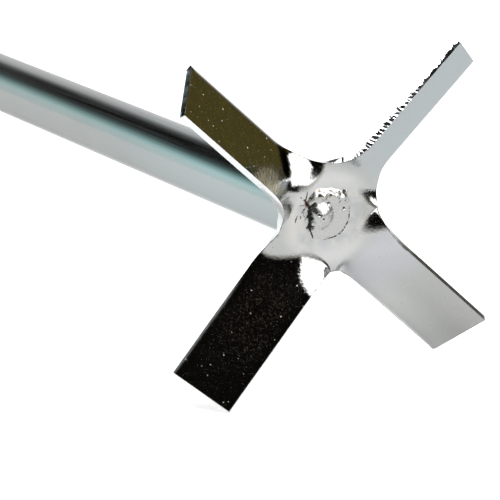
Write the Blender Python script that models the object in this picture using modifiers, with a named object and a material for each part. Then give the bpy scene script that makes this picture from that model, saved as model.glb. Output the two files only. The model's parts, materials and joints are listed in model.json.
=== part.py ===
"""Mortar mixing paddle: a stamped four-blade impeller, plug welded to the end of a plated round bar.

The paddle is modelled in its own frame, in metres: X to the right, Y up and Z out of the impeller's front,
with the middle of the impeller's sheet at Z = 0 and the bar running back along -Z. An empty then lays it on
the ground, where it rests on two blade corners and on the end of its drive hex.
"""

import math

import bmesh
import bpy
from mathutils import Matrix, Vector

OBJECT_NAME = "mortar_mixing_paddle"

# Bar: round stock, cut square in front and milled to a hex for the chuck behind
OVERALL_LENGTH = 0.400
BAR_DIAMETER = 0.010
HEX_LENGTH = 0.030
HEX_FLAT_DEPTH = 0.001
END_CHAMFER = 0.001

# Impeller: a cross cut from sheet, each arm twisted to its pitch outside the flat seat of the bar
BLADE_REACH = 0.0325
BLADE_WIDTH = 0.010
SHEET_THICKNESS = 0.001
FILLET_RADIUS = 0.0034
SEAT_MARGIN = 0.0002
TWIST_LENGTH = 0.0095
# Between two arms the hub holds the sheet flat, and frees it over this share of the way to an arm's middle.
TWIST_RELEASE = 0.4
BLADE_PITCH = math.radians(40)
FIRST_BLADE_ANGLE = math.radians(45)
# The blades are set by hand, so each leans forward by its own angle. The order is upper right, upper left,
# lower left, lower right.
BLADE_LEANS = (math.radians(9.0), math.radians(1.5), math.radians(0.5), math.radians(-1.5))
LOWER_BLADES = (2, 3)

# Plug weld: a stem that fills the hub's hole, and a button over it that rises to a nub off its middle
PLUG_DIAMETER = 0.0044
WELD_DIAMETER = 0.0070
WELD_SKIRT_HEIGHT = 0.0005
NUB_DIAMETER = 0.0044
NUB_HEIGHT = 0.0007
NUB_OFFSET = -0.0012
CRATER_DIAMETER = 0.0008

# Clearance between pieces that seat on each other
SEAT_GAP = 0.0003

# Facets
ROUND_STEPS = 48
HEX_SIDES = 6
FILLET_STEPS = 6
ROOT_STEPS = 6
HUB_ROWS = 9
TWIST_ROWS = 5
BLADE_ROWS = 3
WELD_STEPS = 10
SHARP_EDGE = math.radians(35)
MERGE_DISTANCE = 1e-6
CUTTER_MARGIN = 0.002

# Values that the pieces share
SHEET_FRONT = SHEET_THICKNESS / 2
SHEET_BACK = -SHEET_THICKNESS / 2
BAR_RADIUS = BAR_DIAMETER / 2
PLUG_RADIUS = PLUG_DIAMETER / 2
HOLE_RADIUS = PLUG_RADIUS + SEAT_GAP
DRIVE_END = SHEET_FRONT - OVERALL_LENGTH
BLADE_COUNT = len(BLADE_LEANS)
HALF_SECTOR = math.pi / BLADE_COUNT
FILLET_SWEEP = math.pi / 2 - HALF_SECTOR
FILLET_SIDE = BLADE_WIDTH / 2 + FILLET_RADIUS
FILLET_REACH = FILLET_SIDE / math.tan(HALF_SECTOR)
TWIST_START = BAR_RADIUS + SEAT_MARGIN


def clear_scene():
    for leftover in list(bpy.data.objects):
        bpy.data.objects.remove(leftover, do_unlink=True)


def new_collection(name):
    collection = bpy.data.collections.new(name)
    bpy.context.scene.collection.children.link(collection)
    return collection


def metal(name, colour, roughness):
    material = bpy.data.materials.new(name)
    material.use_nodes = True
    shader = material.node_tree.nodes["Principled BSDF"]
    shader.inputs["Base Color"].default_value = (*colour, 1.0)
    shader.inputs["Metallic"].default_value = 1.0
    shader.inputs["Roughness"].default_value = roughness
    return material


def new_object(name, mesh, collection):
    made = bpy.data.objects.new(name, mesh)
    collection.objects.link(made)
    return made


def applied(source, material):
    """The object with its modifiers turned into its mesh, smooth except along its sharp edges."""
    graph = bpy.context.evaluated_depsgraph_get()
    mesh = bpy.data.meshes.new_from_object(source.evaluated_get(graph))
    mesh.name = source.name
    source.modifiers.clear()
    source.data = mesh
    mesh.shade_smooth()
    mesh.set_sharp_from_angle(angle=SHARP_EDGE)
    mesh.materials.clear()
    mesh.materials.append(material)
    return source


def bar_profile():
    """The bar's outline from its front end to its drive end, as (radius, height) pairs."""
    front_end = SHEET_BACK - SEAT_GAP
    return [
        (0.0, front_end),
        (BAR_RADIUS, front_end),
        (BAR_RADIUS, DRIVE_END + END_CHAMFER),
        (BAR_RADIUS - END_CHAMFER, DRIVE_END),
        (0.0, DRIVE_END),
    ]


def flat_cutters(collection):
    """The blocks that mill the hex: each leaves a flat on the last stretch of the bar."""
    block_length = HEX_LENGTH + CUTTER_MARGIN
    flat_distance = BAR_RADIUS - HEX_FLAT_DEPTH
    block_depth = HEX_FLAT_DEPTH + CUTTER_MARGIN
    for side in range(HEX_SIDES):
        turn = Matrix.Rotation(math.tau / HEX_SIDES * side, 4, "Z")
        middle = Vector((0, -(flat_distance + block_depth / 2), DRIVE_END + HEX_LENGTH - block_length / 2))
        size = Matrix.Diagonal((BAR_DIAMETER, block_depth, block_length, 1))
        block = bmesh.new()
        bmesh.ops.create_cube(block, size=1.0, matrix=turn @ Matrix.Translation(middle) @ size)
        mesh = bpy.data.meshes.new(f"flat_cutter_{side}")
        block.to_mesh(mesh)
        block.free()
        cutter = new_object(mesh.name, mesh, collection)
        cutter.hide_render = True
        cutter.display_type = "WIRE"
        yield cutter


def make_bar(parts, cutters):
    """Round bar: a turned profile with its hex milled into the drive end."""
    mesh = bpy.data.meshes.new("bar")
    outline = [(radius, 0.0, height) for radius, height in bar_profile()]
    mesh.from_pydata(outline, [(i, i + 1) for i in range(len(outline) - 1)], [])
    bar = new_object("bar", mesh, parts)
    turned = bar.modifiers.new("turned", "SCREW")
    turned.axis = "Z"
    turned.steps = ROUND_STEPS
    turned.render_steps = ROUND_STEPS
    turned.use_merge_vertices = True
    turned.merge_threshold = MERGE_DISTANCE
    for cutter in flat_cutters(cutters):
        milled = bar.modifiers.new(cutter.name, "BOOLEAN")
        milled.operation = "DIFFERENCE"
        milled.object = cutter
    return applied(bar, metal("bright_zinc", (0.78, 0.80, 0.81), 0.12))


def blank_edge():
    """The outline of one arm's root in the flat blank, from one bisector to the next, the arm along +X."""
    fillet = []
    for step in range(FILLET_STEPS + 1):
        angle = FILLET_SWEEP * (1 - step / FILLET_STEPS)
        reach = FILLET_REACH - FILLET_RADIUS * math.sin(angle)
        side = FILLET_SIDE - FILLET_RADIUS * math.cos(angle)
        fillet.append(Vector((reach, side)))
    root = []
    for step in range(1, ROOT_STEPS):
        root.append(Vector((FILLET_REACH, BLADE_WIDTH * (step / ROOT_STEPS - 0.5))))
    mirrored = [Vector((point.x, -point.y)) for point in fillet]
    return mirrored + root + fillet[::-1]


def pressed(point, lean):
    """Where a point of the flat blank comes to lie once its blade is twisted to its pitch and leant."""
    along = (point.x - TWIST_START) / TWIST_LENGTH
    share = min(1.0, max(0.0, along))
    left = 1 - share
    from_bisector = 1 - abs(point.y) / (point.x * math.tan(HALF_SECTOR))
    freed = math.sin(math.pi / 2 * min(1.0, from_bisector / TWIST_RELEASE))
    pitch = BLADE_PITCH * freed * (1 - 3 * left ** 4 + 2 * left ** 6)
    bent = share - 3 * (1 - left ** 5) / 5 + 2 * (1 - left ** 7) / 7 + max(0.0, along - 1)
    lean_run = TWIST_LENGTH * freed * bent
    reach = point.x - (1 - math.cos(lean)) * lean_run
    return Vector((reach, point.y * math.cos(pitch), point.y * math.sin(pitch) + math.sin(lean) * lean_run))


def blade_turn(blade):
    return Matrix.Rotation(FIRST_BLADE_ANGLE + 2 * HALF_SECTOR * blade, 3, "Z")


def add_grid(sheet, rows):
    """Joins rows of equally many points into a strip of quads."""
    made = [[sheet.verts.new(point) for point in row] for row in rows]
    for lower, upper in zip(made, made[1:]):
        for i in range(len(lower) - 1):
            sheet.faces.new((lower[i], upper[i], upper[i + 1], lower[i + 1]))


def add_blade(sheet, blade):
    """One quarter of the hub and the blade that grows out of it, as the middle surface of the sheet."""
    turn = blade_turn(blade)
    lean = BLADE_LEANS[blade]
    edge = blank_edge()
    hub = []
    for row in range(HUB_ROWS + 1):
        share = row / HUB_ROWS
        hub.append([point.normalized() * HOLE_RADIUS * (1 - share) + point * share for point in edge])
    root = edge[FILLET_STEPS:len(edge) - FILLET_STEPS]
    twist_end = TWIST_START + TWIST_LENGTH
    reaches = [FILLET_REACH + (twist_end - FILLET_REACH) * row / TWIST_ROWS for row in range(TWIST_ROWS)]
    reaches += [twist_end + (BLADE_REACH - twist_end) * row / BLADE_ROWS for row in range(BLADE_ROWS + 1)]
    arm = [[Vector((reach, point.y)) for point in root] for reach in reaches]
    for grid in (hub, arm):
        add_grid(sheet, [[turn @ pressed(point, lean) for point in row] for row in grid])


def make_impeller(parts):
    """Stamped cross: the middle surface of the sheet, thickened to both sides."""
    sheet = bmesh.new()
    for blade in range(BLADE_COUNT):
        add_blade(sheet, blade)
    bmesh.ops.remove_doubles(sheet, verts=sheet.verts, dist=MERGE_DISTANCE)
    bmesh.ops.recalc_face_normals(sheet, faces=sheet.faces)
    mesh = bpy.data.meshes.new("impeller")
    sheet.to_mesh(mesh)
    sheet.free()
    impeller = new_object("impeller", mesh, parts)
    thick = impeller.modifiers.new("sheet", "SOLIDIFY")
    thick.thickness = SHEET_THICKNESS
    thick.offset = 0.0
    thick.use_even_offset = True
    return applied(impeller, metal("bright_nickel", (0.74, 0.74, 0.73), 0.18))


def weld_outline():
    """The plug weld from the crater on its nub to the foot of its stem, as (radius, height, shift) rings."""
    base = SHEET_FRONT + SEAT_GAP
    for step in range(WELD_STEPS + 1):
        diameter = CRATER_DIAMETER + (WELD_DIAMETER - CRATER_DIAMETER) * step / WELD_STEPS
        share = min(1.0, diameter / WELD_DIAMETER)
        skirt = WELD_SKIRT_HEIGHT * math.sqrt(1 - share ** 2)
        nub = NUB_HEIGHT * max(0.0, 1 - (diameter / NUB_DIAMETER) ** 2) ** 2
        yield diameter / 2, base + skirt + nub, NUB_OFFSET * (1 - share)
    yield PLUG_RADIUS, base, 0.0
    yield PLUG_RADIUS, SHEET_BACK, 0.0


def make_hub_weld(parts):
    """Plug weld: rings from the crater out to the button's rim, under it and down the stem."""
    weld = bmesh.new()
    rings = []
    for radius, height, shift in weld_outline():
        ring = []
        for step in range(ROUND_STEPS):
            angle = math.tau * step / ROUND_STEPS
            ring.append(weld.verts.new((shift + radius * math.cos(angle), radius * math.sin(angle), height)))
        rings.append(ring)
    for upper, lower in zip(rings, rings[1:]):
        for i, point in enumerate(upper):
            weld.faces.new((point, upper[i - 1], lower[i - 1], lower[i]))
    weld.faces.new(rings[0])
    weld.faces.new(rings[-1])
    bmesh.ops.recalc_face_normals(weld, faces=weld.faces)
    mesh = bpy.data.meshes.new("hub_weld")
    weld.to_mesh(mesh)
    weld.free()
    return applied(new_object("hub_weld", mesh, parts), metal("weld_metal", (0.62, 0.61, 0.59), 0.35))


def blade_corners(blade):
    """The four corners of a blade's tip: both long edges, on both faces of the sheet."""
    lean = BLADE_LEANS[blade]
    turn = blade_turn(blade)
    across = Vector((0, math.cos(BLADE_PITCH), math.sin(BLADE_PITCH)))
    outward = Matrix.Rotation(-lean, 3, "Y") @ Vector((0, -math.sin(BLADE_PITCH), math.cos(BLADE_PITCH)))
    tip = pressed(Vector((BLADE_REACH, 0)), lean)
    for side in (-BLADE_WIDTH / 2, BLADE_WIDTH / 2):
        for face in (SHEET_BACK, SHEET_FRONT):
            yield turn @ (tip + across * side + outward * face)


def lay_down(parts, bar):
    """Parents every part to an empty that lays the paddle on the ground, its box centred over the origin."""
    left, right = (min(blade_corners(blade), key=lambda corner: corner.y) for blade in LOWER_BLADES)
    sideways = (right - left).normalized()
    upward = (Vector((0, 1, 0)) - sideways * sideways.y).normalized()
    backward = upward.cross(sideways)
    drops = [vertex.co - left for vertex in bar.data.vertices]
    slope = min(math.atan2(drop.dot(upward), drop.dot(backward)) for drop in drops if drop.dot(backward) > 0)
    floor_up = upward * math.cos(slope) - backward * math.sin(slope)
    along = (Vector((0, 0, -1)) - floor_up * -floor_up.z).normalized()
    turn = Matrix((along.cross(floor_up), along, floor_up)).to_4x4()
    corners = [turn @ vertex.co for part in parts.objects for vertex in part.data.vertices]
    middle = [(min(axis) + max(axis)) / 2 for axis in zip(*corners)]
    lowest = min(corner.z for corner in corners)
    rest = bpy.data.objects.new("rest_on_ground", None)
    parts.objects.link(rest)
    rest.matrix_world = Matrix.Translation((-middle[0], -middle[1], -lowest)) @ turn
    for part in parts.objects:
        if part != rest:
            part.parent = rest


def main():
    clear_scene()
    parts = new_collection(OBJECT_NAME)
    cutters = new_collection("cutters")
    bar = make_bar(parts, cutters)
    make_impeller(parts)
    make_hub_weld(parts)
    lay_down(parts, bar)


main()
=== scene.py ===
# %% [markdown]
# # A plated mixing paddle
# This lesson dresses a mortar mixing paddle: a stamped cross of four twisted blades, plug welded to the
# end of a long plated bar. The solids come packed as a frame, and the looks are built round them. The
# finish is close to a mirror, so half of the lesson is about the studio that the metal reflects.

# %% Tools for the lesson
import json
import math

import bmesh
import bpy
from mathutils import Matrix, Vector, noise


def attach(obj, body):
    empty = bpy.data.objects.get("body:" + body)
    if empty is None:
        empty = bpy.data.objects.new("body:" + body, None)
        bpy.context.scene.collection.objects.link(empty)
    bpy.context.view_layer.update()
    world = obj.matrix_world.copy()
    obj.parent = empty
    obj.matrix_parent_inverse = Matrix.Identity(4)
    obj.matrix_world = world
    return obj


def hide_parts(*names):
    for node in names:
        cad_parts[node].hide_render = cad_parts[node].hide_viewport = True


MM = 0.001

# %% Load the frame and keep its box
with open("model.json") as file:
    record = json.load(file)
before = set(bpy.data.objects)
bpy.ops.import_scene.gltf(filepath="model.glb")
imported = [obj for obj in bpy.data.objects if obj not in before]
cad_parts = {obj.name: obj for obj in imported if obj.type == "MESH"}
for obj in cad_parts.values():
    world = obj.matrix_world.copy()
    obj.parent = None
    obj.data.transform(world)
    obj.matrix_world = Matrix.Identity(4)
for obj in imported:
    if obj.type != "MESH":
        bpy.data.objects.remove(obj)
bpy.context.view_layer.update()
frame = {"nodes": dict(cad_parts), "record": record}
print("nodes:", sorted(frame["nodes"]))

# %% [markdown]
# ## The paddle's own axes
# It is easier to model the paddle in its own axes than on the ground, where it lies tilted: X to the right,
# Y up and Z out of the impeller's front. The three chuck flats on the drive hex say where those axes point.
# Two of them lie left and right of the third, and the middle of all three is a point on the bar's axis. The
# matrix made here then puts every finished piece where the frame has it.

# %% The matrix from the paddle's own axes to the ground
SHEET_THICKNESS = 1.0 * MM
SEAT_GAP = 0.3 * MM

flats = {mount["name"]: mount for mount in frame["record"]["mounts"]}


def flat_axis(name):
    return Vector(flats[name]["axis"]).normalized()


up = flat_axis("chuck_flat_top")
right = (flat_axis("chuck_flat_right") - flat_axis("chuck_flat_left")).normalized()
front = right.cross(up)
on_axis = sum((Vector(mount["pos_m"]) for mount in flats.values()), Vector()) / len(flats)
bar_reaches = [(vertex.co - on_axis).dot(front) for vertex in frame["nodes"]["bar"].data.vertices]
hub_middle = on_axis + front * (max(bar_reaches) + SEAT_GAP + SHEET_THICKNESS / 2)
own_to_ground = Matrix((right, up, front)).transposed().to_4x4()
own_to_ground.translation = hub_middle
print("hub at", [round(x, 4) for x in hub_middle])

# %% [markdown]
# ## Camera
# The photograph was taken with a long lens from the left and a little above, so the bar shrinks only
# slightly towards its far end. The place and the turn of this camera were fitted to the corners of the
# blades.

# %% Camera
CAMERA_PLACE = Vector((-0.2112, -0.5564, 0.1611))
CAMERA_TURN = [math.radians(angle) for angle in (71.416, 0.924, -29.110)]
CAMERA_LENS = 211.0
CAMERA_NEAR = 0.01

camera_data = bpy.data.cameras.new("photo_camera")
camera_data.lens = CAMERA_LENS
camera_data.clip_start = CAMERA_NEAR
camera = bpy.data.objects.new("photo_camera", camera_data)
camera.location = CAMERA_PLACE
camera.rotation_euler = CAMERA_TURN
bpy.context.scene.collection.objects.link(camera)
bpy.context.scene.camera = camera
bpy.context.scene.view_settings.view_transform = "Standard"
print("camera", round((CAMERA_PLACE - hub_middle).length, 3), "m from the hub")

# %% [markdown]
# ## Node helpers
# Shader trees get long when every node takes five lines. These helpers add a node, fill its inputs with
# numbers or with other nodes' outputs, and hand back the output that is needed next.

# %% Node helpers


def put(tree, kind, inputs=None, **settings):
    """Adds a shader node. An input is a plain value or the output of another node."""
    made = tree.nodes.new("ShaderNode" + kind)
    for name, value in settings.items():
        setattr(made, name, value)
    for name, value in (inputs or {}).items():
        if isinstance(value, bpy.types.NodeSocket):
            tree.links.new(value, made.inputs[name])
        else:
            made.inputs[name].default_value = value
    return made


def calc(tree, operation, first, second=0.0):
    return put(tree, "Math", {0: first, 1: second}, operation=operation).outputs[0]


def ramp(tree, value, low, high, start=0.0, end=1.0):
    """Start where the value is at low, end where it is at high, and a smooth climb in between."""
    inputs = {"Value": value, "From Min": low, "From Max": high, "To Min": start, "To Max": end}
    return put(tree, "MapRange", inputs, interpolation_type="SMOOTHSTEP").outputs[0]


def product(tree, first, *others):
    for other in others:
        first = calc(tree, "MULTIPLY", first, other)
    return first


def blend(tree, factor, first, second):
    """A mix of two colours."""
    made = put(tree, "Mix", data_type="RGBA")
    for socket, value in ((made.inputs[0], factor), (made.inputs[6], first), (made.inputs[7], second)):
        if isinstance(value, bpy.types.NodeSocket):
            tree.links.new(value, socket)
        else:
            socket.default_value = value
    return made.outputs[2]


def grey(level):
    return (level, level, level, 1.0)


# %% [markdown]
# ## The studio
# A mirror shows its surroundings, so the surroundings have to be right before any metal is. Worked back
# from what each blade mirrors, the photograph's studio was a dark room with one large softbox in front of
# the paddle on the right, a light overhead, and a pale glow low down at the front. The wall on the right is
# brown, golden higher up, and pale where it meets the back. The glow at the back is grey on the right and
# teal on the left. Lamps and walls could be built as objects, but they would have to stay out of sight.
# Here all of it is painted into the world by direction, so it is far away and lights the floor evenly.
# Camera rays see plain white instead.

# %% Directions in the studio


def direction(azimuth, elevation):
    """A unit vector. Azimuth 0 is in front of the impeller, 90 to its right."""
    turn = math.radians(azimuth)
    rise = math.radians(elevation)
    return Vector((math.sin(turn) * math.cos(rise), -math.cos(turn) * math.cos(rise), math.sin(rise)))


def along(tree, ray, axis):
    inputs = {0: ray, 1: axis}
    return put(tree, "VectorMath", inputs, operation="DOT_PRODUCT").outputs["Value"]


def softbox(tree, ray, azimuth, elevation, half_width, half_height, feather):
    """1 inside a rectangle of sky round the given direction, fading to 0 at its border."""
    middle = direction(azimuth, elevation)
    sideways = direction(azimuth + 90, 0)
    upwards = sideways.cross(middle) * -1
    inside = calc(tree, "GREATER_THAN", along(tree, ray, middle), 0.0)
    for axis, half in ((sideways, half_width), (upwards, half_height)):
        offset = calc(tree, "ABSOLUTE", along(tree, ray, axis))
        inside = calc(tree, "MULTIPLY", inside, ramp(tree, offset, half, half - feather))
    return inside


# %% The studio in the world's shader
SOFTBOX_LIGHT = 3.0
OVERHEAD_LIGHT = 4.6

world = bpy.data.worlds.new("dark_studio")
bpy.context.scene.world = world
world.use_nodes = True
studio = world.node_tree
studio.nodes.clear()
ray = put(studio, "TexCoord").outputs["Generated"]
rightward, backward, rise = put(studio, "SeparateXYZ", {0: ray}).outputs

brown_wall = product(
    studio,
    ramp(studio, rightward, 0.5, 0.75),
    ramp(studio, backward, -0.03, 0.03),
    ramp(studio, backward, 0.28, 0.14),
)
room = blend(studio, brown_wall, (0.0055, 0.0048, 0.0036, 1.0), (0.105, 0.088, 0.026, 1.0))
golden_wall = product(
    studio,
    ramp(studio, rightward, 0.45, 0.65),
    ramp(studio, backward, 0.3, 0.45),
    ramp(studio, rise, 0.3, 0.45),
)
room = blend(studio, golden_wall, room, (0.30, 0.25, 0.13, 1.0))
side_glow = product(
    studio,
    ramp(studio, rightward, 0.6, 0.7),
    ramp(studio, backward, 0.18, 0.48),
    ramp(studio, rise, 0.32, 0.2),
)
room = blend(studio, side_glow, room, (0.70, 0.68, 0.65, 1.0))
front_glow = product(
    studio,
    ramp(studio, rise, 0.2, -0.05),
    ramp(studio, backward, 0.0, -0.3),
    ramp(studio, rightward, 0.85, 0.6),
)
room = blend(studio, front_glow, room, (0.80, 0.79, 0.74, 1.0))
tilted_rise = calc(studio, "SUBTRACT", rise, ramp(studio, rightward, 0.0, 0.4, 0.0, 0.17))
back_glow = product(studio, ramp(studio, tilted_rise, 0.41, 0.11), ramp(studio, backward, 0.4, 0.7))
teal = blend(studio, ramp(studio, rise, 0.05, 0.3), (0.92, 1.05, 1.04, 1.0), (0.84, 1.32, 1.28, 1.0))
glow_colour = blend(studio, ramp(studio, rightward, -0.02, -0.32), grey(0.8), teal)
room = blend(studio, back_glow, room, glow_colour)
box = softbox(studio, ray, azimuth=42.5, elevation=42.5, half_width=0.54, half_height=0.53, feather=0.06)
room = blend(studio, box, room, grey(SOFTBOX_LIGHT))
room = blend(studio, ramp(studio, rise, 0.92, 0.96), room, grey(OVERHEAD_LIGHT))

camera_ray = put(studio, "LightPath").outputs["Is Camera Ray"]
seen = blend(studio, camera_ray, room, grey(1.0))
background = put(studio, "Background", {"Color": seen})
put(studio, "OutputWorld", {"Surface": background.outputs[0]})
print("studio nodes:", len(studio.nodes))

# %% [markdown]
# ## Floor
# The floor is a plain pale disc. It is only as large as a table, because its far edge shows in the hub as
# the line where the white floor ends and the dark room begins. It glows a little, and the camera sees more
# of that glow than the metal does, so that it comes out white as a product photograph's does.

# %% Floor
FLOOR_RADIUS = 0.6
FLOOR_STEPS = 96
FLOOR_GLOW = 0.23
FLOOR_LIFT = 0.5

floor_mesh = bpy.data.meshes.new("floor")
disc = bmesh.new()
bmesh.ops.create_circle(disc, cap_ends=True, segments=FLOOR_STEPS, radius=FLOOR_RADIUS)
disc.to_mesh(floor_mesh)
disc.free()
floor = bpy.data.objects.new("floor", floor_mesh)
bpy.context.scene.collection.objects.link(floor)

floor_finish = bpy.data.materials.new("pale_floor")
floor_finish.use_nodes = True
floor_tree = floor_finish.node_tree
floor_shader = floor_tree.nodes["Principled BSDF"]
floor_shader.inputs["Roughness"].default_value = 0.9
floor_shader.inputs["Specular IOR Level"].default_value = 0.1
mottle = put(floor_tree, "TexNoise", {"Scale": 9.0, "Detail": 3.0}).outputs["Fac"]
pale = blend(floor_tree, mottle, (0.71, 0.71, 0.70, 1.0), (0.74, 0.74, 0.74, 1.0))
floor_tree.links.new(pale, floor_shader.inputs["Base Color"])
floor_shader.inputs["Emission Color"].default_value = grey(1.0)
floor_camera = put(floor_tree, "LightPath").outputs["Is Camera Ray"]
floor_lift = ramp(floor_tree, floor_camera, 0.0, 1.0, FLOOR_GLOW, FLOOR_GLOW + FLOOR_LIFT)
floor_tree.links.new(floor_lift, floor_shader.inputs["Emission Strength"])
floor_mesh.materials.append(floor_finish)
print("floor", 2 * FLOOR_RADIUS, "m across")

# %% [markdown]
# ## Impeller
# The impeller starts as a flat cross cut from sheet, with rounded corners between its arms. A press then
# twists each arm to its pitch, so the blade leaves the hub through a short twisted root. The twist is what
# catches the light, and no bevel or bump gives it, so the sheet is built the way the press makes it: every
# point of the flat blank is moved to where it comes to lie. A cheap press is not exact, so every blade has
# a pitch and a lean of its own, one is swayed a little to its side, and the trailing edges are rolled back.
# Solidify then gives the sheet its thickness, and Bevel breaks its edges.

# %% Sizes of the blank and of the press
BLADE_REACH = 32.45 * MM
BLADE_WIDTH = 10.0 * MM
FILLET_RADIUS = 3.4 * MM
TWIST_START = 5.2 * MM
TWIST_LENGTH = 9.5 * MM
TWIST_RELEASE = 0.4
HOLE_RADIUS = 2.5 * MM
BLADE_PITCHES = [math.radians(angle) for angle in (38.0, 42.0, 39.0, 40.0)]
FIRST_BLADE_ANGLE = math.radians(45)
BLADE_LEANS = [math.radians(angle) for angle in (9.0, 1.5, 0.5, -1.5)]
BLADE_SWAYS = [math.radians(angle) for angle in (-0.2, 0.0, 0.0, 0.0)]
FILLET_CENTRE = BLADE_WIDTH / 2 + FILLET_RADIUS
ROLL_WIDTH = 0.7 * MM
ROLL_DEPTH = 0.3 * MM
ROLL_RUN = 4.0 * MM

# %% The flat blank
FILLET_STEPS = 14
ROOT_STEPS = 20


def blank_edge():
    """The outline of one arm's root in the flat blank, from one bisector to the next, the arm along +X."""
    fillet = []
    for step in range(FILLET_STEPS + 1):
        angle = math.pi / 4 * (1 - step / FILLET_STEPS)
        reach = FILLET_CENTRE - FILLET_RADIUS * math.sin(angle)
        side = FILLET_CENTRE - FILLET_RADIUS * math.cos(angle)
        fillet.append(Vector((reach, side)))
    root = []
    for step in range(1, ROOT_STEPS):
        side = BLADE_WIDTH / 2 * math.sin(math.pi * (step / ROOT_STEPS - 0.5))
        root.append(Vector((FILLET_CENTRE, side)))
    mirrored = [Vector((point.x, -point.y)) for point in fillet]
    return mirrored + root + fillet[::-1]


# %% The press
def smooth(share):
    """0 below 0, 1 above 1, and a smooth climb in between."""
    share = min(1.0, max(0.0, share))
    return share * share * (3 - 2 * share)


def pressed(point, blade):
    """Where a point of the flat blank comes to lie once its blade is twisted to its pitch and leant."""
    lean = BLADE_LEANS[blade]
    along = (point.x - TWIST_START) / TWIST_LENGTH
    share = min(1.0, max(0.0, along))
    left = 1 - share
    freed = math.sin(math.pi / 2 * min(1.0, (1 - abs(point.y) / point.x) / TWIST_RELEASE))
    turned = freed * (1 - 3 * left ** 4 + 2 * left ** 6)
    pitch = BLADE_PITCHES[blade] * turned
    tilt = lean * turned
    bent = share - 3 * (1 - left ** 5) / 5 + 2 * (1 - left ** 7) / 7 + max(0.0, along - 1)
    lean_run = TWIST_LENGTH * freed * bent
    rolled = max(0.0, 1 - (point.y + BLADE_WIDTH / 2) / ROLL_WIDTH) ** 2
    drop = ROLL_DEPTH * rolled * smooth((point.x - FILLET_CENTRE) / ROLL_RUN)
    side = point.y * math.cos(pitch) + drop * math.sin(pitch)
    height = point.y * math.sin(pitch) - drop * math.cos(pitch)
    reach = point.x - (1 - math.cos(lean)) * lean_run - height * math.sin(tilt)
    placed = Vector((reach, side, height * math.cos(tilt) + math.sin(lean) * lean_run))
    return Matrix.Rotation(BLADE_SWAYS[blade] * turned, 3, "Z") @ placed


# %% One arm of the cross
HUB_ROWS = 18
TWIST_ROWS = 16
BLADE_ROWS = 20
EDGE_LAYERS = ("rim", "trailing", "tip")


def rim_distance(point):
    """How far a point of the flat blank lies inside the nearest sheared side, in mm."""
    side = abs(point.y)
    if point.x > FILLET_CENTRE:
        return (BLADE_WIDTH / 2 - side) / MM
    from_fillet = Vector((FILLET_CENTRE - point.x, FILLET_CENTRE - side)).length
    return (from_fillet - FILLET_RADIUS) / MM


def edge_distances(point):
    """How far a point of the flat blank lies inside the sides, the trailing side and the tip, in mm."""
    return rim_distance(point), (point.y + BLADE_WIDTH / 2) / MM, (BLADE_REACH - point.x) / MM


def add_grid(sheet, rows, blade):
    """Presses rows of equally many points of the blank and joins them into a strip of quads."""
    layers = [sheet.verts.layers.float[name] for name in EDGE_LAYERS]
    turn = Matrix.Rotation(FIRST_BLADE_ANGLE + math.pi / 2 * blade, 3, "Z")
    made = []
    for row in rows:
        made.append([sheet.verts.new(turn @ pressed(point, blade)) for point in row])
        for vertex, point in zip(made[-1], row):
            for layer, distance in zip(layers, edge_distances(point)):
                vertex[layer] = distance
    for lower, upper in zip(made, made[1:]):
        for i in range(len(lower) - 1):
            sheet.faces.new((lower[i], upper[i], upper[i + 1], lower[i + 1]))


def add_arm(sheet, blade):
    """One quarter of the hub and the blade that grows out of it, as the middle surface of the sheet."""
    edge = blank_edge()
    hub = []
    for row in range(HUB_ROWS + 1):
        share = row / HUB_ROWS
        hub.append([point.normalized() * HOLE_RADIUS * (1 - share) + point * share for point in edge])
    root = edge[FILLET_STEPS:len(edge) - FILLET_STEPS]
    twist_end = TWIST_START + TWIST_LENGTH
    reaches = [FILLET_CENTRE + (twist_end - FILLET_CENTRE) * row / TWIST_ROWS for row in range(TWIST_ROWS)]
    reaches += [twist_end + (BLADE_REACH - twist_end) * row / BLADE_ROWS for row in range(BLADE_ROWS + 1)]
    arm = [[Vector((reach, point.y)) for point in root] for reach in reaches]
    for grid in (hub, arm):
        add_grid(sheet, grid, blade)


# %% [markdown]
# ## Setting a piece down
# Each piece is modelled in the paddle's own axes and then set down where the frame has it. The materials
# still need the paddle's own axes, to tell a blade's tip from its root, so every point keeps its place in
# them, in mm, as an attribute of the mesh. The sheet's points also keep how far they lie from its edges.
# Solidify and Bevel pass all of these on to the points that they add.

# %% Setting a piece down


def set_down(mesh, node):
    """Puts a mesh on the ground as the piece that stands for a node of the frame."""
    kept = mesh.attributes.new("own_place", "FLOAT_VECTOR", "POINT")
    for vertex, own_place in zip(mesh.vertices, kept.data):
        own_place.vector = vertex.co / MM
    mesh.transform(own_to_ground)
    piece = bpy.data.objects.new(mesh.name, mesh)
    bpy.context.scene.collection.objects.link(piece)
    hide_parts(node)
    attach(piece, "root")
    return piece


# %% The impeller's mesh
WAVE_HEIGHT = 0.03 * MM
WAVE_LENGTH = 7.0 * MM
MERGE_DISTANCE = 0.001 * MM
EDGE_BREAK = 0.05 * MM
EDGE_BREAK_STEPS = 3
EDGE_BREAK_ANGLE = math.radians(50)
EVEN_WEIGHT = 80

sheet = bmesh.new()
for name in EDGE_LAYERS:
    sheet.verts.layers.float.new(name)
for blade in range(len(BLADE_LEANS)):
    add_arm(sheet, blade)
bmesh.ops.remove_doubles(sheet, verts=sheet.verts, dist=MERGE_DISTANCE)
bmesh.ops.recalc_face_normals(sheet, faces=sheet.faces)
for vertex in sheet.verts:
    vertex.co.z += WAVE_HEIGHT * noise.noise(vertex.co / WAVE_LENGTH)
impeller_mesh = bpy.data.meshes.new("impeller_sheet")
sheet.to_mesh(impeller_mesh)
sheet.free()
impeller_mesh.shade_smooth()

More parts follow.
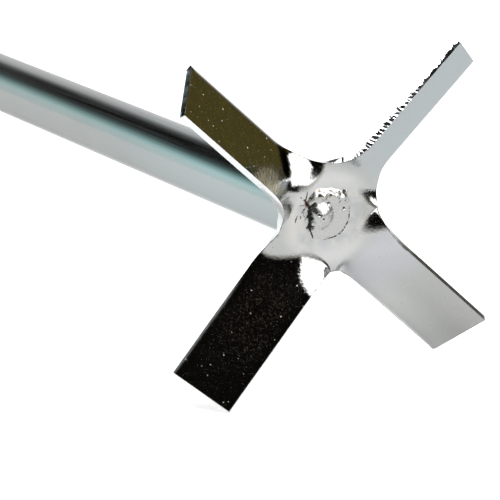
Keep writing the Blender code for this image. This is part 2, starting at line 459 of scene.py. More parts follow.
impeller = set_down(impeller_mesh, "impeller")
thick = impeller.modifiers.new("sheet", "SOLIDIFY")
thick.thickness = SHEET_THICKNESS
thick.offset = 0.0
thick.use_even_offset = True
thick.material_offset_rim = 1
broken = impeller.modifiers.new("broken_edges", "BEVEL")
broken.width = EDGE_BREAK
broken.segments = EDGE_BREAK_STEPS
broken.limit_method = "ANGLE"
broken.angle_limit = EDGE_BREAK_ANGLE
even = impeller.modifiers.new("even_shading", "WEIGHTED_NORMAL")
even.weight = EVEN_WEIGHT
print("impeller faces before thickening:", len(impeller_mesh.polygons))

# %% [markdown]
# ## Plated sheet
# Bright plating is a mirror with small faults. It is cloudy and satin round the hub, where the welding
# heat reached it, and burnt in dark strokes beside the weld. It turns a little blue towards the right and
# a little yellow on the upper left blade, whose root is scuffed and has a black patch of painted dark
# reflection. Rubbing has left fine lines along the blades, and dust and grit show as pale specks where the
# mirror is dark. A thin brown film lies on the middle of the lower left blade, and the lower right blade
# is painted lighter along its lower side as painted light. The roots are crumpled, with painted shade
# along their edges, the trailing edges are tumbled dull and pale, and painted shade darkens the tips. An
# image of a real sheet would show all this, but only once. Here it is noise and a few strokes, read in the
# paddle's own axes. The blades lie on the diagonals there, so the sum and the difference of X and Y run
# along a blade and across it.

# %% Helpers for the metals
# Burnt strokes left of the weld, as start, end and half width in mm.
BURN_STROKES = (
    ((-3.6, 4.45), (-3.9, 3.5), 0.13),
    ((-4.1, 3.4), (-3.45, 2.1), 0.36),
    ((-5.0, 2.65), (-4.1, 2.75), 0.09),
    ((-4.75, 1.55), (-4.25, 2.05), 0.12),
    ((-4.5, 1.5), (-4.3, 0.9), 0.09),
    ((-5.9, 0.4), (-5.5, 1.25), 0.14),
    ((-5.05, 0.7), (-4.95, 1.0), 0.11),
)
BURN_COLOUR = (0.06, 0.035, 0.03, 1.0)
# The dark of the painted shade on the roots' edges, on the tips and on the cut beside the tips.
PAINTED_SHADE_COLOUR = (0.05, 0.045, 0.035, 1.0)


def metal(name):
    """A new metal with its node tree, its shader and the paddle's own place in mm."""
    material = bpy.data.materials.new(name)
    material.use_nodes = True
    tree = material.node_tree
    shader = tree.nodes["Principled BSDF"]
    shader.inputs["Metallic"].default_value = 1.0
    place = put(tree, "Attribute", attribute_name="own_place").outputs["Vector"]
    return material, tree, shader, place


def cloudy(tree, place, scale, detail=3.0):
    return put(tree, "TexNoise", {"Vector": place, "Scale": scale, "Detail": detail}).outputs["Fac"]


def specks(tree, place, scale, kept, size):
    """Dots of different strength in some cells of a Voronoi grid. Kept is the share of cells with a dot."""
    cells = put(tree, "TexVoronoi", {"Vector": place, "Scale": scale})
    drawn = put(tree, "SeparateColor", {0: cells.outputs["Color"]})
    chosen = calc(tree, "LESS_THAN", drawn.outputs[0], kept)
    dot = ramp(tree, cells.outputs["Distance"], size, size * 0.4)
    return product(tree, dot, chosen, drawn.outputs[1])


def ragged(tree, place, scale, reach):
    """The place seen from the front and shifted by noise, so that a mark laid there gets a torn edge."""
    shift = put(tree, "TexNoise", {"Vector": place, "Scale": scale, "Detail": 2.0}).outputs["Color"]
    centred = put(tree, "VectorMath", {0: shift, 1: (0.5, 0.5, 0.5)}, operation="SUBTRACT").outputs[0]
    inputs = {0: centred, 1: (reach, reach, reach), 2: place}
    torn = put(tree, "VectorMath", inputs, operation="MULTIPLY_ADD").outputs[0]
    return put(tree, "VectorMath", {0: torn, 1: (1.0, 1.0, 0.0)}, operation="MULTIPLY").outputs[0]


def stroke(tree, flat_place, start, end, width):
    """1 on a straight stroke between two places in mm, and 0 from its width on."""
    run = Vector((*end, 0.0)) - Vector((*start, 0.0))
    inputs = {0: flat_place, 1: (*start, 0.0)}
    offset = put(tree, "VectorMath", inputs, operation="SUBTRACT").outputs[0]
    share = put(tree, "Clamp", {0: along(tree, offset, run / run.length_squared)}).outputs[0]
    nearest = put(tree, "VectorMath", {0: run, "Scale": share}, operation="SCALE").outputs[0]
    distance = put(tree, "VectorMath", {0: offset, 1: nearest}, operation="DISTANCE").outputs["Value"]
    return ramp(tree, distance, width, width * 0.4)


def burn_marks(tree, place):
    """The strokes that the welding burnt into the plating, on the hub and on the weld's left border."""
    torn_place = ragged(tree, place, 3.0, 0.5)
    burnt = 0.0
    for start, end, width in BURN_STROKES:
        burnt = calc(tree, "MAXIMUM", burnt, stroke(tree, torn_place, start, end, width))
    return burnt


def blade_place(tree, place):
    """The reach along the nearest blade and the distance from its middle line, in mm."""
    own = put(tree, "SeparateXYZ", {0: place})
    sizes = [calc(tree, "ABSOLUTE", own.outputs[i]) for i in (0, 1)]
    reach = calc(tree, "MULTIPLY", calc(tree, "ADD", *sizes), math.sqrt(0.5))
    across = calc(tree, "MULTIPLY", calc(tree, "SUBTRACT", *sizes), math.sqrt(0.5))
    return reach, across


def diagonals(tree, place):
    """How far a place lies towards the upper right and towards the lower right, as X + Y and X - Y in mm."""
    own = put(tree, "SeparateXYZ", {0: place})
    return [calc(tree, operation, own.outputs[0], own.outputs[1]) for operation in ("ADD", "SUBTRACT")]


def axis_distance(tree, place):
    """How far a place lies from the bar's axis, in mm."""
    flat_place = put(tree, "VectorMath", {0: place, 1: (1.0, 1.0, 0.0)}, operation="MULTIPLY").outputs[0]
    return put(tree, "VectorMath", {0: flat_place}, operation="LENGTH").outputs["Value"]


def roughened(tree, rough, faults):
    """A roughness with faults added to it, each given as its share and what it adds at most."""
    for share, added in faults:
        rough = calc(tree, "ADD", rough, calc(tree, "MULTIPLY", share, added))
    return rough


# %% Plated sheet
CRUMPLE_DEPTH = 0.02 * MM
FILM_STRENGTH = 0.06

# Dust of three sizes, as cells in a mm, the share of cells with a dot, and the dot's radius in cells.
DUST_LAYERS = ((1.7, 0.4, 0.13), (4.0, 0.5, 0.24), (7.0, 0.5, 0.26))

sheet_finish, sheet_tree, sheet_shader, sheet_place = metal("plated_sheet")
reach, across = blade_place(sheet_tree, sheet_place)
own_axes = put(sheet_tree, "SeparateXYZ", {0: sheet_place})
cloud = cloudy(sheet_tree, sheet_place, 0.26, 4.0)
radius = axis_distance(sheet_tree, sheet_place)
hub_share = ramp(sheet_tree, radius, 8.5, 6.0)
upness, rightness = diagonals(sheet_tree, sheet_place)
cool = ramp(sheet_tree, upness, 8.0, 19.0)
dull = ramp(sheet_tree, rightness, 14.0, 46.0)
line_place = put(sheet_tree, "CombineXYZ", {0: calc(sheet_tree, "MULTIPLY", reach, 0.12), 1: across})
lines = ramp(sheet_tree, cloudy(sheet_tree, line_place.outputs[0], 7.0), 0.55, 0.75)
patches = ramp(sheet_tree, cloudy(sheet_tree, sheet_place, 0.15), 0.45, 0.65)
rubbed = calc(sheet_tree, "MULTIPLY", lines, patches)

clean = blend(sheet_tree, cloud, (0.44, 0.45, 0.445, 1.0), (0.49, 0.495, 0.49, 1.0))
clean = blend(sheet_tree, cool, clean, (0.345, 0.385, 0.405, 1.0))
clean = blend(sheet_tree, dull, clean, (0.40, 0.405, 0.40, 1.0))
# Painted light: the lower right blade is made lighter along its lower side.
lower_half = ramp(sheet_tree, upness, 1.5, -5.0)
bright = calc(sheet_tree, "MULTIPLY", lower_half, ramp(sheet_tree, rightness, 10.0, 24.0))
clean = blend(sheet_tree, bright, clean, (0.585, 0.595, 0.59, 1.0))
blued = product(sheet_tree, ramp(sheet_tree, reach, 20.0, 12.0), ramp(sheet_tree, rightness, 9.0, 14.0))
clean = blend(sheet_tree, blued, clean, (0.505, 0.51, 0.535, 1.0))
yellowed = ramp(sheet_tree, cloudy(sheet_tree, sheet_place, 0.8, 5.0), 0.4, 0.7, 0.0, 0.8)
yellowed = calc(sheet_tree, "MULTIPLY", yellowed, ramp(sheet_tree, rightness, -12.0, -22.0))
clean = blend(sheet_tree, yellowed, clean, (0.58, 0.53, 0.40, 1.0))
mottle = ramp(sheet_tree, cloudy(sheet_tree, sheet_place, 0.5, 4.0), 0.35, 0.65)
satin = blend(sheet_tree, mottle, (0.44, 0.455, 0.47, 1.0), (0.56, 0.56, 0.535, 1.0))
off_middle = calc(sheet_tree, "ABSOLUTE", own_axes.outputs[1])
satin = blend(sheet_tree, ramp(sheet_tree, off_middle, 2.5, 6.0), satin, (0.60, 0.605, 0.605, 1.0))
satin = blend(sheet_tree, ramp(sheet_tree, own_axes.outputs[0], -4.0, -6.8), satin, (0.61, 0.60, 0.58, 1.0))
right_side = ramp(sheet_tree, own_axes.outputs[0], 4.0, 6.5)
right_middle = calc(sheet_tree, "MULTIPLY", right_side, ramp(sheet_tree, off_middle, 2.2, 0.8))
satin = blend(sheet_tree, right_middle, satin, (0.43, 0.435, 0.425, 1.0))
clean = blend(sheet_tree, hub_share, clean, satin)
rim = put(sheet_tree, "Attribute", attribute_name="rim").outputs["Fac"]
dust = 0.0
for scale, kept, size in DUST_LAYERS:
    dust = calc(sheet_tree, "MAXIMUM", dust, specks(sheet_tree, sheet_place, scale, kept, size))
dust = calc(sheet_tree, "MULTIPLY", dust, ramp(sheet_tree, own_axes.outputs[1], -1.0, -7.0, 0.7, 0.6))
speckled = blend(sheet_tree, dust, clean, (0.80, 0.76, 0.62, 1.0))
grit = specks(sheet_tree, sheet_place, 1.0, 0.5, 0.15)
speckled = blend(sheet_tree, grit, speckled, (0.62, 0.59, 0.47, 1.0))
film = product(
    sheet_tree,
    ramp(sheet_tree, cloudy(sheet_tree, sheet_place, 3.0, 2.0), 0.5, 0.72),
    ramp(sheet_tree, upness, -12.0, -20.0),
    ramp(sheet_tree, rim, 0.3, 2.6),
    ramp(sheet_tree, reach, 29.0, 21.0, 0.2, 1.0),
)
speckled = blend(sheet_tree, film, speckled, (0.57, 0.41, 0.21, 1.0))
covered = calc(sheet_tree, "MULTIPLY", film, FILM_STRENGTH)
bare = calc(sheet_tree, "SUBTRACT", ramp(sheet_tree, grit, 0.0, 0.6, 1.0, 0.0), covered)
sheet_tree.links.new(bare, sheet_shader.inputs["Metallic"])
streak_place = put(sheet_tree, "CombineXYZ", {0: reach, 1: calc(sheet_tree, "MULTIPLY", across, 0.1)})
streaks = ramp(sheet_tree, cloudy(sheet_tree, streak_place.outputs[0], 3.5), 0.3, 0.7, 0.45, 0.75)
scuffed = stroke(sheet_tree, ragged(sheet_tree, sheet_place, 0.6, 1.5), (-13.0, 8.0), (-11.2, 7.7), 3.1)
scuffed = calc(sheet_tree, "MULTIPLY", streaks, scuffed)
speckled = blend(sheet_tree, scuffed, speckled, (0.50, 0.45, 0.27, 1.0))
burnt = burn_marks(sheet_tree, sheet_place)
finished = blend(sheet_tree, burnt, speckled, BURN_COLOUR)
# Painted dark reflection: a black patch by the upper left blade's root.
painted_dark_patch = stroke(sheet_tree, ragged(sheet_tree, sheet_place, 1.2, 0.8), (-6.2, 11.0), (-6.6, 7.9), 1.25)
finished = blend(sheet_tree, painted_dark_patch, finished, (0.03, 0.028, 0.022, 1.0))
at_root = ramp(sheet_tree, reach, 15.0, 11.5)
shade_breakup = ramp(sheet_tree, cloudy(sheet_tree, sheet_place, 1.6), 0.35, 0.6)
# Painted shade: a thin dark band along the sheared sides of the roots.
root_edge_shade = product(sheet_tree, ramp(sheet_tree, rim, 0.26, 0.08), at_root, shade_breakup)
finished = blend(sheet_tree, root_edge_shade, finished, PAINTED_SHADE_COLOUR)
trailing = put(sheet_tree, "Attribute", attribute_name="trailing").outputs["Fac"]
past_root = ramp(sheet_tree, reach, 12.0, 18.0)
tumbled = calc(sheet_tree, "MULTIPLY", ramp(sheet_tree, trailing, 0.6, 0.0), past_root)
finished = blend(sheet_tree, tumbled, finished, (0.72, 0.72, 0.73, 1.0))
tip = put(sheet_tree, "Attribute", attribute_name="tip").outputs["Fac"]
# Painted shade: the tips are darkened along their ends.
spread = ramp(sheet_tree, shade_breakup, 0.0, 0.3)
tip_shade = calc(sheet_tree, "MULTIPLY", ramp(sheet_tree, tip, 0.12, 0.04), spread)
finished = blend(sheet_tree, tip_shade, finished, PAINTED_SHADE_COLOUR)
sheet_tree.links.new(finished, sheet_shader.inputs["Base Color"])

rough = ramp(sheet_tree, cloud, 0.3, 0.7, 0.04, 0.09)
faults = [(hub_share, 0.13), (rubbed, 0.12), (dust, 0.45), (grit, 0.5)]
faults += [(burnt, 0.3), (scuffed, 0.35), (root_edge_shade, 0.3), (tumbled, 0.45), (tip_shade, 0.3)]
sheet_tree.links.new(roughened(sheet_tree, rough, faults), sheet_shader.inputs["Roughness"])
off_hub = ramp(sheet_tree, radius, 5.0, 7.5)
crumpled = product(sheet_tree, cloudy(sheet_tree, sheet_place, 2.4, 4.0), at_root, off_hub)
crumple_bump = put(sheet_tree, "Bump", {"Height": crumpled, "Strength": 1.0, "Distance": CRUMPLE_DEPTH})
sheet_tree.links.new(crumple_bump.outputs[0], sheet_shader.inputs["Normal"])
impeller_mesh.materials.append(sheet_finish)
print("sheet nodes:", len(sheet_tree.nodes))

# %% [markdown]
# ## Sheared edge
# The press cut the cross out of the sheet and left its edges bare and bright. Beside the front the cut is
# clean, in slanted bars that close up into one band towards the tip. Round them the metal broke off along a
# slope that mirrors the lights. Only the upper right blade turns that edge to the camera, so only it is
# broken off. The lower right blade's edge is painted dark as painted shade, and so is the cut beside the
# front at the tips. The edge is the rim that Solidify makes, so it has a material slot of its own. Both
# sides of the sheet keep the same own place, so noise read there doesn't change across the thickness, and
# how far a spot lies behind the front is worked out from where it really is.

# %% Sheared edge
BREAK_SLOPE = 0.45
BREAK_SWAY = 0.6
MARK_STEP = 0.65
MARK_SLANT = 0.4

edge_finish, edge_tree, edge_shader, edge_place = metal("sheared_edge")
edge_reach = blade_place(edge_tree, edge_place)[0]
edge_height = put(edge_tree, "SeparateXYZ", {0: edge_place}).outputs[2]
edge_upness, edge_rightness = diagonals(edge_tree, edge_place)
facing = ramp(edge_tree, edge_upness, 7.0, 12.0)
worn = cloudy(edge_tree, edge_place, 0.8)
surface = along(edge_tree, put(edge_tree, "TexCoord").outputs["Object"], front)
over_hub = calc(edge_tree, "DIVIDE", calc(edge_tree, "SUBTRACT", surface, hub_middle.dot(front)), MM)
over_middle = calc(edge_tree, "SUBTRACT", over_hub, edge_height)
from_front = calc(edge_tree, "DIVIDE", over_middle, math.cos(BLADE_PITCHES[0]))
from_front = calc(edge_tree, "SUBTRACT", SHEET_THICKNESS / 2 / MM, from_front)
torn = ramp(edge_tree, cloudy(edge_tree, edge_place, 1.5, 2.0), 0.25, 0.75, -0.2, 0.2)
slanted = calc(edge_tree, "ADD", edge_reach, calc(edge_tree, "MULTIPLY", from_front, MARK_SLANT))
bars = calc(edge_tree, "PINGPONG", calc(edge_tree, "ADD", slanted, torn), MARK_STEP / 2)
bars = ramp(edge_tree, bars, 0.13 * MARK_STEP, 0.24 * MARK_STEP)
cut_clean = calc(edge_tree, "MAXIMUM", bars, ramp(edge_tree, edge_reach, 18.0, 26.0))
cut_clean = calc(edge_tree, "MULTIPLY", cut_clean, ramp(edge_tree, edge_reach, 9.6, 10.6))
cut_depth = calc(edge_tree, "ADD", ramp(edge_tree, edge_reach, 12.0, 24.0, 0.85, 0.52), torn)
within = ramp(edge_tree, calc(edge_tree, "SUBTRACT", cut_depth, from_front), -0.08, 0.08)
broken_off = calc(edge_tree, "SUBTRACT", 1.0, calc(edge_tree, "MULTIPLY", cut_clean, within))
break_height = calc(edge_tree, "SUBTRACT", ramp(edge_tree, worn, 0.2, 0.8, BREAK_SWAY, 0.0), edge_reach)
edge_colour = blend(edge_tree, worn, (0.84, 0.86, 0.88, 1.0), (0.96, 0.98, 1.0, 1.0))
# Painted shade: the lower right blade's edge is darkened.
painted_dark_edge = ramp(edge_tree, edge_rightness, 12.0, 22.0)
edge_colour = blend(edge_tree, painted_dark_edge, edge_colour, (0.13, 0.13, 0.12, 1.0))
# Painted shade: the cut beside the front is darkened at the tips.
edge_tip = put(edge_tree, "Attribute", attribute_name="tip").outputs["Fac"]
beside_front = ramp(edge_tree, from_front, 0.16, 0.08)
edge_tip_shade = calc(edge_tree, "MULTIPLY", ramp(edge_tree, edge_tip, 0.12, 0.04), beside_front)
edge_colour = blend(edge_tree, edge_tip_shade, edge_colour, PAINTED_SHADE_COLOUR)
edge_tree.links.new(edge_colour, edge_shader.inputs["Base Color"])
edge_tree.links.new(ramp(edge_tree, worn, 0.3, 0.7, 0.14, 0.3), edge_shader.inputs["Roughness"])
edge_bump = put(edge_tree, "Bump", {"Height": break_height, "Strength": 1.0, "Distance": BREAK_SLOPE * MM})
plain_normal = put(edge_tree, "NewGeometry").outputs["Normal"]
edge_normal = put(edge_tree, "Mix", data_type="VECTOR")
edge_tree.links.new(calc(edge_tree, "MULTIPLY", broken_off, facing), edge_normal.inputs[0])
edge_tree.links.new(plain_normal, edge_normal.inputs[4])
edge_tree.links.new(edge_bump.outputs[0], edge_normal.inputs[5])
edge_tree.links.new(edge_normal.outputs[1], edge_shader.inputs["Normal"])
impeller_mesh.materials.append(edge_finish)
print("edge nodes:", len(edge_tree.nodes))

# %% [markdown]
# ## Bar
# The bar is drawn round stock with a hex milled on its far end. Rings of points follow it from end to end:
# each ring takes the smaller of the turned radius and, along the hex, the distance to the nearest flat.

# %% Sizes of the bar
END_TRIM = 0.01 * MM
BAR_LENGTH = max(bar_reaches) - min(bar_reaches) - END_TRIM
BAR_RADIUS = 5.0 * MM
HEX_LENGTH = 30.0 * MM
HEX_HALF_WIDTH = 4.0 * MM
END_CHAMFER = 1.0 * MM
FRONT_BREAK = 0.25 * MM
SHOULDER = 0.3 * MM
CHAMFER_STEPS = 4
BAR_STEPS = 144
BAR_SHARP_ANGLE = math.radians(28)

bar_front = -(SHEET_THICKNESS / 2 + SEAT_GAP)
hex_start = BAR_LENGTH - HEX_LENGTH


def bar_radius(angle, depth):
    """The bar's radius at an angle round it and a depth behind its front end."""
    far = BAR_LENGTH - depth
    turned = min(BAR_RADIUS, BAR_RADIUS - FRONT_BREAK + depth, BAR_RADIUS - END_CHAMFER + far)
    if depth < hex_start + SHOULDER:
        return turned
    from_flat = angle % (math.pi / 3) - math.pi / 6
    return min(turned, HEX_HALF_WIDTH / math.cos(from_flat))


def join_rings(mesh, rings):
    """Joins rings of equally many points into a wall of quads."""
    for near, far in zip(rings, rings[1:]):
        for i, point in enumerate(near):
            mesh.faces.new((point, near[i - 1], far[i - 1], far[i]))


# %% The bar's mesh
depths = [0.0, FRONT_BREAK, hex_start, hex_start + SHOULDER]
depths += [BAR_LENGTH - END_CHAMFER * (1 - step / CHAMFER_STEPS) for step in range(CHAMFER_STEPS + 1)]
turned_bar = bmesh.new()
rings = []
for depth in depths:
    ring = []
    for step in range(BAR_STEPS):
        angle = math.tau * step / BAR_STEPS
        out = Vector((math.cos(angle), math.sin(angle))) * bar_radius(angle, depth)
        ring.append(turned_bar.verts.new((*out, bar_front - depth)))
    rings.append(ring)
join_rings(turned_bar, rings)
turned_bar.faces.new(rings[0])
turned_bar.faces.new(rings[-1])
bmesh.ops.recalc_face_normals(turned_bar, faces=turned_bar.faces)
bar_mesh = bpy.data.meshes.new("drive_bar")
turned_bar.to_mesh(bar_mesh)
turned_bar.free()
bar_mesh.shade_smooth()
bar_mesh.set_sharp_from_angle(angle=BAR_SHARP_ANGLE)
set_down(bar_mesh, "bar")
print("bar", round(BAR_LENGTH, 4), "m,", len(bar_mesh.polygons), "faces")

# %% [markdown]
# ## Plated bar
# Drawing leaves fine lines along the bar, and the plating over them is a shade bluer than the sheet's.
# Near the hub the bar is painted brighter and bluer, as a painted reflection. The hex has been in a chuck,
# so its corners are rubbed bright and its flats are dull. The lines are noise that is squeezed round the bar
# and stretched along it.

# %% Plated bar
LINE_STRETCH = (4.0, 4.0, 0.03)
LINE_DEPTH = 0.02 * MM

bar_finish, bar_tree, bar_shader, bar_place = metal("plated_bar")
stretched = put(bar_tree, "VectorMath", {0: bar_place, 1: LINE_STRETCH}, operation="MULTIPLY").outputs[0]
drawn_lines = cloudy(bar_tree, stretched, 1.0, 4.0)
tarnish = cloudy(bar_tree, bar_place, 0.12, 4.0)
bar_height = put(bar_tree, "SeparateXYZ", {0: bar_place}).outputs[2]
hex_height = (bar_front - hex_start) / MM
at_hex = ramp(bar_tree, bar_height, hex_height, hex_height - 1.0)
corner = calc(bar_tree, "MULTIPLY", at_hex, ramp(bar_tree, axis_distance(bar_tree, bar_place), 4.25, 4.5))
bar_colour = blend(bar_tree, tarnish, (0.335, 0.355, 0.355, 1.0), (0.395, 0.415, 0.41, 1.0))
# Painted reflection: the bar is brighter and bluer towards the hub.
painted_reflection_near_hub = ramp(bar_tree, bar_height, -80.0, -20.0)
bar_colour = blend(bar_tree, painted_reflection_near_hub, bar_colour, (0.425, 0.475, 0.485, 1.0))
bar_colour = blend(bar_tree, corner, bar_colour, (0.68, 0.67, 0.65, 1.0))
bar_tree.links.new(bar_colour, bar_shader.inputs["Base Color"])
bar_rough = ramp(bar_tree, drawn_lines, 0.3, 0.7, 0.13, 0.23)
chucked = calc(bar_tree, "MULTIPLY", at_hex, ramp(bar_tree, tarnish, 0.35, 0.65, 0.04, 0.2))
bar_tree.links.new(calc(bar_tree, "ADD", bar_rough, chucked), bar_shader.inputs["Roughness"])
bar_bump = put(bar_tree, "Bump", {"Height": drawn_lines, "Strength": 0.25, "Distance": LINE_DEPTH})
bar_tree.links.new(bar_bump.outputs[0], bar_shader.inputs["Normal"])
bar_mesh.materials.append(bar_finish)
print("bar nodes:", len(bar_tree.nodes))

# %% [markdown]
# ## Plug weld
# The hub sits on the square end of the bar, and a plug weld through its hole holds it there. The welder
# filled the hole until the metal stood up as a button, with a crown left of its middle where the wire was
# pulled away, rings round the crown, a dark crack along the left, a row of lumps that ran out above, and
# two drops of spatter. A sculpted button would do, but it could not be repeated. Here it is a height over a
# round grid, and each trait but the spatter is a term of the height.

# %% Sizes of the weld
PLUG_RADIUS = 2.2 * MM
SKIRT_HEIGHT = 0.45 * MM
SKIRT_STEEPNESS = 4.0
RUN_OUT_EASE = 2.5
CROWN_PLACE = Vector((-1.5, 0.6)) * MM
CROWN_RADIUS = 2.1 * MM
CROWN_HEIGHT = 0.8 * MM
CROWN_STEEPNESS = 1.3
RING_HEIGHT = 0.02 * MM
RING_STEP = 0.95 * MM
RINGS_OUT = 2.7 * MM
# The painted shade between the rings and along the border, and where the border's shade stops at the top and
# the left.
RING_SHADE = 0.3
BORDER_SHADE = 0.65
BORDER_SHADE_START = 0.86
BORDER_SHADE_CLIMB = 8.5
SHADE_TOP = 3.65 * MM
SHADE_LEFT = 1.8 * MM
CRACK_DEPTH = 0.45 * MM
FLANK_REACH = 6.0 * MM
SEATED = 0.03 * MM

# How far the weld spreads, as stops of (angle in degrees, mm).
WELD_BORDER = (
    (0, 3.65), (50, 4.5), (85, 4.6), (115, 5.2), (145, 4.9), (180, 4.4),
    (215, 4.2), (240, 3.5), (275, 3.25), (320, 3.4), (360, 3.65),
)

# The crack and its branches, as runs of (X, Y, half width) in mm.
CRACKS = (
    (
        (-2.46, 2.71, 0.14), (-3.2, 2.1, 0.3), (-3.5, 1.5, 0.4), (-3.4, 0.4, 0.46), (-3.5, -0.8, 0.46),
        (-3.4, -1.4, 0.14), (-3.05, -2.5, 0.14), (-3.1, -2.9, 0.26),
    ),
    ((-3.6, 1.2, 0.2), (-4.3, 0.4, 0.06)),
    ((-3.6, -0.5, 0.24), (-4.15, -0.9, 0.08)),
    ((-3.6, -0.6, 0.24), (-2.9, -0.9, 0.06)),
)

# Lumps and pits, as X, Y, radius and height in mm.
LUMPS = (
    (-2.6, 3.6, 1.3, 0.12), (-1.1, 3.6, 0.9, 0.5), (0.5, 3.5, 1.0, 0.5), (1.3, 2.8, 0.9, 0.4),
    (2.5, 2.9, 0.9, 0.5), (-0.3, 4.2, 0.6, 0.3), (1.6, 3.7, 0.7, 0.4), (2.7, 3.4, 0.5, 0.3),
)
PITS = ((-2.2, 1.0, 0.34, 0.26), (-1.65, 0.3, 0.22, 0.2), (2.4, 1.1, 0.32, 0.18), (-0.3, 2.4, 0.3, 0.15))
SPATTER = ((2.9, 3.6, 0.34), (-4.6, 3.9, 0.16))

# %% The height of the weld, and the painted shade on it


def between(stops, angle):
    """A smooth reading between stops. 0 beyond them."""
    for (start, low), (end, high) in zip(stops, stops[1:]):
        if start <= angle <= end:
            return MM * (low + (high - low) * smooth((angle - start) / (end - start)))
    return 0.0


def lump(point, x, y, radius, height):
    """A rounded rise at a place given in mm."""
    share = (point / MM - Vector((x, y))).length / radius
    return height * MM * max(0.0, 1 - share * share) ** 1.5


def crack_share(point):
    """1 in the middle of the crack, and 0 away from it."""
    place = point / MM
    share = 0.0
    for crack in CRACKS:
        for (x, y, width), (end_x, end_y, end_width) in zip(crack, crack[1:]):
            start = Vector((x, y))
            run = Vector((end_x, end_y)) - start
            along = min(1.0, max(0.0, (place - start).dot(run) / run.length_squared))
            distance = (place - start - run * along).length
            share = max(share, math.exp(-(distance / (width + (end_width - width) * along)) ** 2))
    return share


def ring_groove(distance):
    """1 in a groove between two rings of the crown, 0 on a ring, and 0 beyond the last ring."""
    wave = 0.5 + 0.5 * math.cos(math.tau * distance / RING_STEP)
    return wave * smooth(2 * distance / RING_STEP - 0.5) * smooth(2 * (RINGS_OUT - distance) / RING_STEP)


def weld_height(point, share):
    """The weld's height over the sheet. Share runs from 0 at the crown to 1 at the weld's border."""
    distance = (point - CROWN_PLACE).length
    run_out = smooth((point.y - point.x) / FLANK_REACH - 0.5)
    height = SKIRT_HEIGHT * (1 - share ** (SKIRT_STEEPNESS - RUN_OUT_EASE * run_out))
    height += CROWN_HEIGHT * max(0.0, 1 - (distance / CROWN_RADIUS) ** 2) ** CROWN_STEEPNESS
    height -= RING_HEIGHT * ring_groove(distance)
    height += smooth((1 - share) * 5) * sum(lump(point, *sizes) for sizes in LUMPS)
    height -= sum(lump(point, *sizes) for sizes in PITS)
    return max(2 * SEATED * smooth((1 - share) * 12), height - CRACK_DEPTH * crack_share(point))


def weld_hollow_shade(point, share):
    """Painted shade lies in the crack, in the pits, along the border and, more thinly, between the rings."""
    distance = (point - CROWN_PLACE).length
    in_rings = RING_SHADE * ring_groove(distance) ** 2
    at_border = BORDER_SHADE * smooth((share - BORDER_SHADE_START) * BORDER_SHADE_CLIMB)
    at_border *= smooth(0.8 - point.y / SHADE_TOP) * smooth(1.2 + point.x / SHADE_LEFT)
    in_pits = sum(lump(point, x, y, radius, 1 / MM) for x, y, radius, _ in PITS)
    return min(1.0, max(crack_share(point), in_rings, at_border, in_pits))


# %% The weld's mesh
WELD_STEPS = 160
WELD_RINGS = 48
WELD_SHARP_ANGLE = math.radians(60)
BORDER_WAVE = 0.03
BORDER_WAVES = 5
DROP_DETAIL = 3

sheet_front = SHEET_THICKNESS / 2
button = bmesh.new()
shade_layer = button.verts.layers.float.new("hollow_shade")
borders = []
for step in range(WELD_STEPS):
    angle = math.tau * step / WELD_STEPS
    out = Vector((math.cos(angle), math.sin(angle)))
    uneven = 1 + BORDER_WAVE * noise.noise(out.to_3d() * BORDER_WAVES)
    borders.append(out * between(WELD_BORDER, math.degrees(angle)) * uneven)
crown_top = sheet_front + weld_height(CROWN_PLACE, 0.0)
crown_point = button.verts.new((*CROWN_PLACE, crown_top))
rings = []
for row in range(1, WELD_RINGS + 1):
    share = row / WELD_RINGS
    ring = []
    for border in borders:
        point = CROWN_PLACE.lerp(border, share)
        made = button.verts.new((*point, sheet_front - SEATED + weld_height(point, share)))
        made[shade_layer] = weld_hollow_shade(point, share)
        ring.append(made)
    rings.append(ring)
for depth in (sheet_front - 2 * SEATED, SEATED - sheet_front):
    rings.append([button.verts.new((*border.normalized() * PLUG_RADIUS, depth)) for border in borders])
for i in range(WELD_STEPS):
    button.faces.new((crown_point, rings[0][i - 1], rings[0][i]))
join_rings(button, rings)
button.faces.new(rings[-1])
bmesh.ops.recalc_face_normals(button, faces=button.faces)
for x, y, radius in SPATTER:
    middle = Matrix.Translation((x * MM, y * MM, sheet_front + radius * MM / 2))
    bmesh.ops.create_icosphere(button, subdivisions=DROP_DETAIL, radius=radius * MM, matrix=middle)
weld_mesh = bpy.data.meshes.new("plug_weld")
button.to_mesh(weld_mesh)
button.free()
weld_mesh.shade_smooth()
weld_mesh.set_sharp_from_angle(angle=WELD_SHARP_ANGLE)
set_down(weld_mesh, "hub_weld")
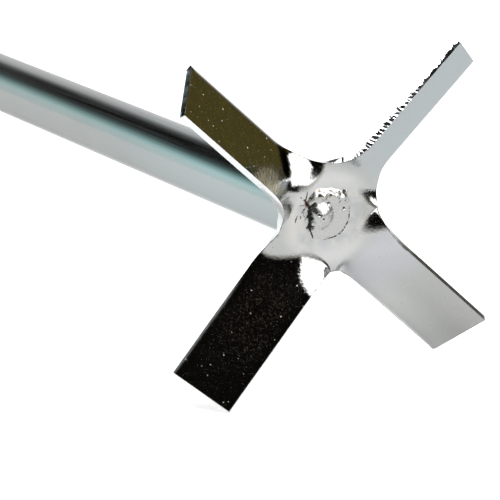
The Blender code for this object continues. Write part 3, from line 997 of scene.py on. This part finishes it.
print("weld", len(weld_mesh.polygons), "faces, crown", round((crown_top - sheet_front) / MM, 2), "mm high")

# %% [markdown]
# ## Weld metal
# The weld was plated with the rest, so it shines like the hub, but it kept its grain, and rust sits between
# the lumps. The crack, the pits, the grooves between the rings and the border are painted dark as painted
# shade.

# %% Weld metal
GRAIN_DEPTH = 0.03 * MM

weld_finish, weld_tree, weld_shader, weld_place = metal("weld_metal")
grain = cloudy(weld_tree, weld_place, 5.0, 3.0)
hollow_shade = put(weld_tree, "Attribute", attribute_name="hollow_shade").outputs["Fac"]
frayed = ramp(weld_tree, cloudy(weld_tree, weld_place, 3.0), 0.3, 0.7, -0.28, 0.28)
hollow_shade = ramp(weld_tree, calc(weld_tree, "ADD", hollow_shade, frayed), 0.22, 0.78)
weld_top = ramp(weld_tree, put(weld_tree, "SeparateXYZ", {0: weld_place}).outputs[1], 2.4, 3.8)
rust = ramp(weld_tree, cloudy(weld_tree, weld_place, 2.2, 2.0), 0.56, 0.66)
rust = calc(weld_tree, "MULTIPLY", weld_top, rust)
weld_colour = blend(weld_tree, grain, (0.44, 0.445, 0.44, 1.0), (0.56, 0.56, 0.545, 1.0))
weld_colour = blend(weld_tree, rust, weld_colour, (0.32, 0.25, 0.17, 1.0))
weld_colour = blend(weld_tree, burn_marks(weld_tree, weld_place), weld_colour, BURN_COLOUR)
# Painted shade: the crack, the pits, the ring grooves and the border are darkened.
weld_colour = blend(weld_tree, hollow_shade, weld_colour, (0.022, 0.026, 0.02, 1.0))
weld_tree.links.new(weld_colour, weld_shader.inputs["Base Color"])
weld_rough = ramp(weld_tree, grain, 0.3, 0.7, 0.18, 0.32)
weld_rough = roughened(weld_tree, weld_rough, ((hollow_shade, 0.35), (rust, 0.25)))
weld_tree.links.new(weld_rough, weld_shader.inputs["Roughness"])
weld_bump = put(weld_tree, "Bump", {"Height": grain, "Strength": 0.35, "Distance": GRAIN_DEPTH})
weld_tree.links.new(weld_bump.outputs[0], weld_shader.inputs["Normal"])
weld_mesh.materials.append(weld_finish)
print("weld nodes:", len(weld_tree.nodes))
